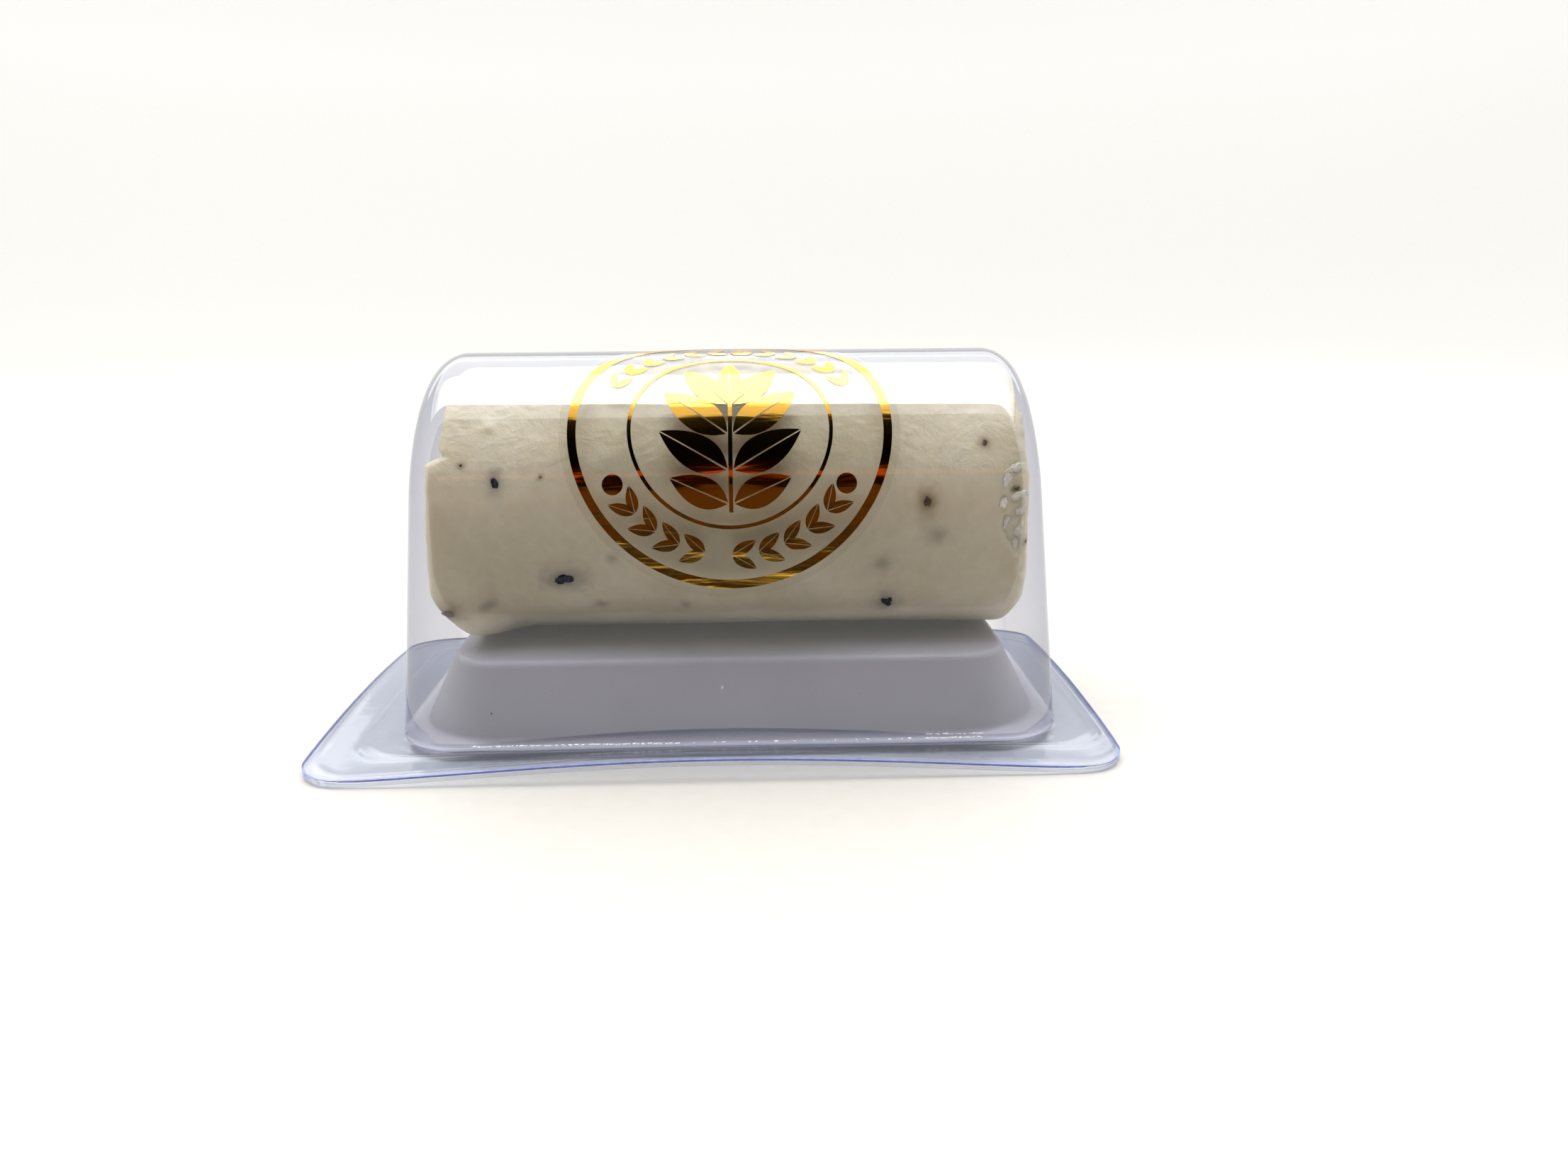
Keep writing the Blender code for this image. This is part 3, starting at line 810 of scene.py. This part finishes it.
torn_curd = fleck_material("torn_curd_flakes", "#EDE5CD", "#F8F2E0")


def on_log(x, degrees):
    """Point and outward normal of the log's skin, found by a ray from outside."""
    turn = math.radians(degrees)
    inwards = Vector((0, math.cos(turn), math.sin(turn)))
    start = Vector((x, 0, LOG_AXIS)) - 2 * LOG_RADIUS * inwards
    found, place, normal, _ = log.ray_cast(start, inwards)
    if not found:
        place, normal = start + LOG_RADIUS * inwards, -inwards
    return place, normal


def flake(place, normal, size, tilt, seed, subdivisions=3):
    """Ragged flattened ball, size long, wide and thick, laid on a surface."""
    deselect()
    bpy.ops.mesh.primitive_ico_sphere_add(subdivisions=subdivisions, radius=1)
    made = bpy.context.object
    for vertex in made.data.vertices:
        vertex.co *= 0.85 + 0.5 * rough(vertex.co, 0.9, seed) + 0.3 * rough(vertex.co, 0.4, seed)
    along = (Matrix.Rotation(math.radians(tilt), 3, normal) @ Vector((1, 0, 0)))
    along = (along - along.dot(normal) * normal).normalized()
    length, width, thick = (value / 2 for value in size)
    axes = Matrix((along * length, normal.cross(along) * width, normal * thick)).transposed().to_4x4()
    made.data.transform(Matrix.Translation(place - 0.3 * thick * normal) @ axes)
    return made


def gather(parts, finish):
    """Joins flakes of one material into one piece."""
    join(parts)
    group = bpy.context.object
    group.name = finish.name
    group.data.materials.append(finish)
    bpy.ops.object.shade_smooth()
    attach(group, "root")
    print(group.name, len(parts))


def on_skin(row, thickness, seed, subdivisions=3):
    """Flake on the log, from a row of numbers in mm and degrees."""
    x, degrees, length, width, tilt = row
    place, normal = on_log(x / 1000 + CENTRE_SHIFT, degrees)
    return flake(place, normal, (length / 1000, width / 1000, thickness), tilt, seed, subdivisions)


for finish in (black_fleck, brown_fleck, olive_hole):
    gather([on_skin(row, FLECK_THICKNESS, 17 + k) for k, (made_of, *row) in enumerate(FLECKS)
            if made_of == finish], finish)
gather([on_skin(row, FLAKE_THICKNESS, 60 + k, 4) for k, row in enumerate(TORN_FLAKES)], torn_curd)

# %% Stains in the curd
STAINS = {black_fleck: ((0.50, 0.50, 0.52), 0.95), brown_fleck: ((0.50, 0.40, 0.30), 1.15),
          olive_hole: ((0.55, 0.52, 0.40), 0.7), None: ((0.66, 0.64, 0.62), 0.75)}    # colour, spread
PALE_CURD = (1.05, 1.06, 1.10)
STAIN_REACH = 0.004


def curd_tint(vertex):
    """Colour that multiplies the curd's own at a point of the log."""
    x = vertex.co.x - CENTRE_SHIFT
    degrees = -math.degrees(math.atan2(vertex.co.z - LOG_AXIS, -vertex.co.y))
    pale = smooth_step((x - break_line(degrees)) / 0.001)
    tint = [1 + (colour - 1) * pale for colour in PALE_CURD]
    for finish, place, turn, length, width, tilt in FLECKS:
        along = x - place / 1000
        if abs(along) > STAIN_REACH:
            continue
        round_log = LOG_RADIUS * math.radians(degrees - turn)
        stain, spread = STAINS[finish]
        far = math.hypot(along / (spread * length / 1000), round_log / (spread * width / 1000))
        far *= 1 + 0.35 * rough(vertex.co, 0.001, 41)
        share = math.exp(-far ** 2)
        tint = [value * (1 + (colour - 1) * share) for value, colour in zip(tint, stain)]
    return (*tint, 1.0)


colours = log.data.color_attributes.new("curd_tint", "FLOAT_COLOR", "POINT")
colours.data.foreach_set("color", [value for vertex in log.data.vertices for value in curd_tint(vertex)])
print("stained points:", len(colours.data))

# %% [markdown]
# ## Marks on the plastic
#
# Where the dome was pulled off its mould, the bend at its foot is strained and glitters. The tiny white
# dashes along it are painted glints: white flakes that stand for that sparkle. A white scratch and a few
# specks of dust sit on the plastic. Each mark is a flake, laid where a ray meets the dome.

# %% Marks on the plastic
DASH_RUNS = [                # from x, to x, height above the bend, how many
    (-0.0379, -0.0074, 0.0000, 60), (-0.0074, 0.0288, 0.0000, 14), (0.0288, 0.0374, 0.0000, 22),
    (0.0288, 0.0374, 0.0006, 14)]
ABOVE_BEND = (-0.04, 0.0075)     # y and z of a point from which a ray slants down onto the bend
SLANT = (0, 0.0132, -0.0052)
DUST = [                     # x, height, length, width
    (-0.0349, 0.0072, 0.00030, 0.00024), (-0.0260, 0.0104, 0.00016, 0.00012),
    (0.0190, 0.0091, 0.00014, 0.00014)]
# painted glints: this white stands for the sparkle of the foot's bend, and also serves for a real white
# scratch
glints_and_scratch = fleck_material("painted_glints_and_white_scratch", "#F4F4F6", "#FFFFFF")
dust = fleck_material("dark_dust", "#14141A", "#2A2A33")
chance = random.Random(5)


def mark(start, direction, size, tilt, seed, subdivisions=2):
    """Flake where a ray meets the dome."""
    _, place, normal, _ = dome.ray_cast(Vector(start), Vector(direction))
    return flake(place, normal, size, tilt, seed, subdivisions)


dashes = []
for first, last, up, count in DASH_RUNS:
    for k in range(count):
        x = CENTRE_SHIFT + first + (last - first) * (k + chance.random()) / count
        start = (x, ABOVE_BEND[0], ABOVE_BEND[1] + up + 0.0001 * chance.random())
        size = (chance.uniform(0.0003, 0.0011), chance.uniform(0.00018, 0.0004), 0.00008)
        dashes.append(mark(start, SLANT, size, chance.uniform(-8, 8), k, 1))
scratch = mark((CENTRE_SHIFT - 0.0012, -0.05, 0.0104), (0, 1, 0), (0.00055, 0.00022, 0.00005), 70, 3)
gather(dashes + [scratch], glints_and_scratch)
specks = [mark((x + CENTRE_SHIFT, -0.05, z), (0, 1, 0), (length, width, 0.00006), 30, k)
          for k, (x, z, length, width) in enumerate(DUST)]
on_flange = mark((-0.0526, -0.0118, 0.03), (0, 0, -1), (0.0004, 0.0002, 0.00006), 10, 9)
gather(specks + [on_flange], dust)

# %% [markdown]
# ## The sticker, drawn flat
#
# The sticker is drawn flat first, as a printer would, and wrapped over the dome at the end. Its
# shapes are two rings, two dots, a garland of leaves between the rings and a leafy sprig in the
# middle. They are circles that are inset, stretched, split and copied. Each leaf is modelled once:
# a circle drawn out to a point at both ends, and split along its midrib.

# %% Flat shapes
FOIL_OUTER = 0.02349
FOIL_OUTER_WIDTH = 0.00125
FOIL_INNER = 0.0149
FOIL_INNER_WIDTH = 0.00055
DOT_RADIUS = 0.0015
DOT_PLACES = [(-0.01696, -0.0083), (0.01666, -0.0085)]


def flat_circle(name, radius, vertices=160, place=(0, 0)):
    deselect()
    bpy.ops.mesh.primitive_circle_add(vertices=vertices, radius=radius, fill_type="NGON",
                                      location=(place[0], place[1], 0))
    return start_piece(name)


def flat_ring(name, outer, width):
    """A disc, inset by the ring's width, without its middle."""
    ring = flat_circle(name, outer)
    select_mesh()
    bpy.ops.mesh.inset(thickness=width)
    bpy.ops.mesh.delete(type="FACE")
    leave_edit_mode()
    return ring


def flat_dot(name, radius, place=(0, 0), vertices=40):
    dot = flat_circle(name, radius, vertices, place)
    leave_edit_mode()
    return dot


shapes = [flat_ring("outer_ring", FOIL_OUTER, FOIL_OUTER_WIDTH),
          flat_ring("inner_ring", FOIL_INNER, FOIL_INNER_WIDTH)]
shapes += [flat_dot("dot", DOT_RADIUS, place) for place in DOT_PLACES]
print("plain shapes:", len(shapes))

# %% One leaf, one unit long
leaf = flat_circle("leaf", 0.5, 32)
form = bmesh.from_edit_mesh(leaf.data)
for vertex in form.verts:
    x, y = vertex.co.x, vertex.co.y
    vertex.co.y = 0.5 * y * (1 - (2 * abs(x)) ** 2.5) ** 0.5 * (1 - 0.5 * x)
bmesh.update_edit_mesh(leaf.data)
select_mesh()
bpy.ops.mesh.remove_doubles(threshold=1e-5)
select_mesh()
bpy.ops.mesh.bisect(plane_co=(0, 0, 0), plane_no=(0, 1, 0))
bpy.ops.mesh.bevel(offset=0.022, segments=1)
form = bmesh.from_edit_mesh(leaf.data)
for face in form.faces:
    face.select = abs(face.calc_center_median().y) < 0.01
bmesh.update_edit_mesh(leaf.data)
bpy.ops.mesh.delete(type="FACE")
leave_edit_mode()
print("leaf faces:", len(leaf.data.polygons))


def place_leaf(x, y, length, width, degrees):
    """Copy of the leaf, with its stalk end at a point of the flat design, pointing by degrees."""
    copy = leaf.copy()
    copy.data = leaf.data.copy()
    bpy.context.collection.objects.link(copy)
    turned = Matrix.Rotation(math.radians(degrees), 4, "Z")
    scaled = Matrix.Diagonal((length, width * 2, 1, 1))
    copy.data.transform(Matrix.Translation((x, y, 0)) @ turned @ scaled @ Matrix.Translation((0.5, 0, 0)))
    return copy


# %% Garland and sprig
GARLAND_RADIUS = 0.0186
GARLANDS = [                 # degrees round the sticker, leaf length and width, lean, way round
    (range(24, 157, 11), 0.0034, 0.0013, 28, 90), (range(222, 320, 12), 0.0041, 0.0017, 30, -90)]
SPRIG = [                    # y, leaf length and width, rise in degrees
    (-0.0112, 0.0092, 0.0044, 24), (-0.0064, 0.0116, 0.0052, 31), (-0.0010, 0.0118, 0.0052, 38),
    (0.0040, 0.0096, 0.0042, 48)]
for angles, length, width, lean, way in GARLANDS:
    for degrees in angles:
        turn = math.radians(degrees)
        x, y = GARLAND_RADIUS * math.cos(turn), GARLAND_RADIUS * math.sin(turn)
        heading = degrees + way if degrees % 180 < 90 else degrees - way
        for side in (lean, -lean):
            shapes.append(place_leaf(x, y, length, width, heading + side))
for y, length, width, rise in SPRIG:
    shapes.append(place_leaf(0.0004, y, length, width, rise))
    shapes.append(place_leaf(-0.0004, y, length, width, 180 - rise))
shapes.append(place_leaf(0, 0.0060, 0.0072, 0.0034, 90))
deselect()
bpy.ops.mesh.primitive_plane_add(size=1, location=(0, -0.0032, 0))
stem = start_piece("stem")
bpy.ops.transform.resize(value=(0.0006, 0.0186, 1))
leave_edit_mode()
shapes.append(stem)
bpy.data.objects.remove(leaf)
print("foil shapes:", len(shapes))

# %% [markdown]
# ## Wrapping the sticker
#
# A flat shape can only follow a curve if it has edges to bend at. The joined shapes are sliced by
# many level cuts, and each point is then laid on the dome: its height in the drawing becomes a
# distance round the back. The film and the foil are lifted by a hair and given a thickness.

# %% Wrap helper
SEAL_RADIUS = 0.0247
SEAL_X = 0.00060
SEAL_ARC = 0.02233           # from the crown to the sticker's centre, round the front
SLICE = 0.0007


def front_section(arc, offset):
    """Y and Z of the dome's front, arc round from the crown, offset outwards."""
    arch = ARCH_RADIUS * (math.pi / 2 - FRONT_DRAFT)
    angle = max(math.pi / 2 - arc / ARCH_RADIUS, FRONT_DRAFT)
    down = max(arc - arch, 0.0)
    return (-(ARCH_RADIUS + offset) * math.cos(angle) - down * math.sin(FRONT_DRAFT),
            ARCH_CENTRE + (ARCH_RADIUS + offset) * math.sin(angle) - down * math.cos(FRONT_DRAFT))


def wrap(name, parts, offset, thickness, finish):
    """Joins flat shapes, slices them, lays them on the dome and gives them a thickness."""
    join(parts)
    bpy.ops.object.transform_apply(location=True, rotation=True, scale=True)
    piece = start_piece(name)
    for k in range(-round(SEAL_RADIUS / SLICE), round(SEAL_RADIUS / SLICE) + 1):
        select_mesh()
        bpy.ops.mesh.bisect(plane_co=(0, k * SLICE, 0), plane_no=(0, 1, 0))
    leave_edit_mode()
    for vertex in piece.data.vertices:
        y, z = front_section(SEAL_ARC - vertex.co.y, offset)
        vertex.co = (CENTRE_SHIFT + SEAL_X + vertex.co.x, y, z)
    sheet = piece.modifiers.new("sheet", "SOLIDIFY")
    sheet.thickness = thickness
    sheet.offset = 1
    apply_modifiers(piece)
    bpy.ops.object.shade_smooth_by_angle(angle=math.radians(40))
    piece.data.materials.clear()
    piece.data.materials.append(finish)
    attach(piece, "root")
    print(name, "faces:", len(piece.data.polygons), "from", [round(1000 * s, 1) for s in piece.dimensions])
    return piece


# %% Film and foil
disc = flat_dot("disc", SEAL_RADIUS, vertices=200)
film = wrap("clear_sticker_film", [disc], 0.00005, 0.00006, film_clear)
foil = wrap("gold_foil_shapes", shapes, 0.00013, 0.00003, gold_foil)
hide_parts("seal")

# %% [markdown]
# ## Table, light and cards
#
# The pack stands on a white table before a white wall of light. One wide soft panel hangs over
# and behind it, and a brighter card in front of that makes the white band on the dome's back. A
# black card behind the camera keeps the front in shade, as the dark side of the room does in the
# photograph, and warm strips on it give the gold foil something to reflect. Away from the pack,
# the table and its cove give off a painted glow that rises with distance, so they fade into the room.

# %% Table
TABLE_RADIUS = 1.1
COVE_RADIUS = 0.7
COVE_STEPS = 16

table_white_painted_glow, tree = new_material("white_melamine_table_with_painted_glow")
tone = ramp(tree, mottle(tree, 350, 3), "#BDBAB3", "#C4C1BB")
# painted glow: the table's emission grows with distance from the pack, so that table and cove fade into the
# white room
steep = add(tree, "ShaderNodeVectorMath", {1: (1, 1, 2.2)}, {0: own_place(tree)}, operation="MULTIPLY")
far = add(tree, "ShaderNodeVectorMath", links={0: steep.outputs["Vector"]}, operation="LENGTH")
glow = add(tree, "ShaderNodeMapRange", {"From Min": 0.12, "From Max": 1.9, "To Min": 0.0, "To Max": 0.49},
           {"Value": far.outputs["Value"]})
surface(tree, add(tree, "ShaderNodeBsdfPrincipled", {"Roughness": 0.6, "Emission Color": linear("#FFFFFF")},
                  {"Base Color": tone.outputs["Color"], "Emission Strength": glow.outputs["Result"]}))
deselect()
bpy.ops.mesh.primitive_circle_add(vertices=96, radius=TABLE_RADIUS, fill_type="NGON",
                                  location=(0, 0, -0.00002))
table = start_piece("table_and_cove")
select_mesh()
bpy.ops.mesh.select_mode(type="EDGE")
bpy.ops.mesh.region_to_loop()
for step in range(1, COVE_STEPS + 1):
    before = math.pi / 2 * (step - 1) / COVE_STEPS
    after = math.pi / 2 * step / COVE_STEPS
    wider = ((TABLE_RADIUS + COVE_RADIUS * math.sin(after))
             / (TABLE_RADIUS + COVE_RADIUS * math.sin(before)))
    rise = COVE_RADIUS * (math.cos(before) - math.cos(after))
    bpy.ops.mesh.extrude_region_move(TRANSFORM_OT_translate={"value": (0, 0, rise)})
    bpy.ops.transform.resize(value=(wider, wider, 1))
leave_edit_mode()
bpy.ops.object.shade_smooth_by_angle(angle=math.radians(30))
table.data.materials.append(table_white_painted_glow)
table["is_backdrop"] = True

# %% White surroundings
world = bpy.data.worlds.new("white_room")
world.use_nodes = True
world.node_tree.nodes["Background"].inputs["Color"].default_value = linear("#FFFFFF")
world.node_tree.nodes["Background"].inputs["Strength"].default_value = 1.0
bpy.context.scene.world = world

# %% Panel and cards
PANEL_YAW = math.radians(-9)     # the band on the dome isn't quite level


def area_light(place, rotation, length, width, radiance):
    bpy.ops.object.light_add(type="AREA", location=place, rotation=rotation)
    made = bpy.context.object
    made.data.shape = "RECTANGLE"
    made.data.size, made.data.size_y = length, width
    made.data.energy = radiance * math.pi * length * width
    return made


def card(name, size, place, tilt, colour, strength, yaw=0.0, fade=0.0):
    """A studio card that no camera sees: it gives off its colour, or just blocks light at strength 0.
    Towards its sides it may fade over a share of its length."""
    finish, tree = new_material(name)
    glow = add(tree, "ShaderNodeEmission", {"Color": linear(colour), "Strength": strength})
    if fade:
        sides = add(tree, "ShaderNodeSeparateXYZ", links={"Vector": own_place(tree)})
        middle = add(tree, "ShaderNodeMath", links={0: sides.outputs["X"]}, operation="ABSOLUTE")
        faded = add(tree, "ShaderNodeMapRange", {"From Min": 0.5 - fade, "From Max": 0.5, "To Min": strength,
                                                 "To Max": 0.0}, {"Value": middle.outputs[0]},
                    interpolation_type="SMOOTHSTEP")
        tree.links.new(faded.outputs["Result"], glow.inputs["Strength"])
    surface(tree, glow)
    deselect()
    bpy.ops.mesh.primitive_plane_add(size=1, location=place, rotation=(math.radians(tilt), 0, yaw))
    made = bpy.context.object
    made.name = name
    made.scale = (*size, 1)
    made.data.materials.append(finish)
    made.visible_camera = False
    made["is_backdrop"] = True
    return made


area_light((0.0, 0.425, 0.65), (0, 0, PANEL_YAW), 1.4, 1.03, 2.0)
sheen = card("reflected_panel", (1.4, 0.37), (0.0, 0.095, 0.66), 0, "#FFFFFF", 5.0, PANEL_YAW, 0.3)
fill = area_light((-0.10, -0.17, 0.66), (math.radians(-14.5), 0, 0), 0.9, 0.4, 4.2)
fill.visible_glossy = False
glow_card = card("reflected_wall", (3.0, 0.34), (0, 1.25, 0.78), 90, "#FFFFFF", 2.6)
for mirrored in (sheen, glow_card):
    mirrored.visible_diffuse = False
    mirrored.visible_shadow = False
card("black_card", (3.0, 2.2), (0, -0.75, 1.1), 90, "#000000", 0.0)
for name, height, depth, colour, strength in (
        ("orange_strip", 0.36, 0.05, "#C8642A", 0.9), ("brown_strip", 0.14, 0.16, "#6E4A26", 0.6)):
    strip = card(name, (1.2, depth), (0, -0.74, height), 90, colour, strength)
    strip.visible_diffuse = False

# %% [markdown]
# ## Size of the finished model
#
# The size of the finished model's box is printed.

# %% Finish
low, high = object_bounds()
print("model in mm:", [round(1000 * side, 1) for side in high - low])
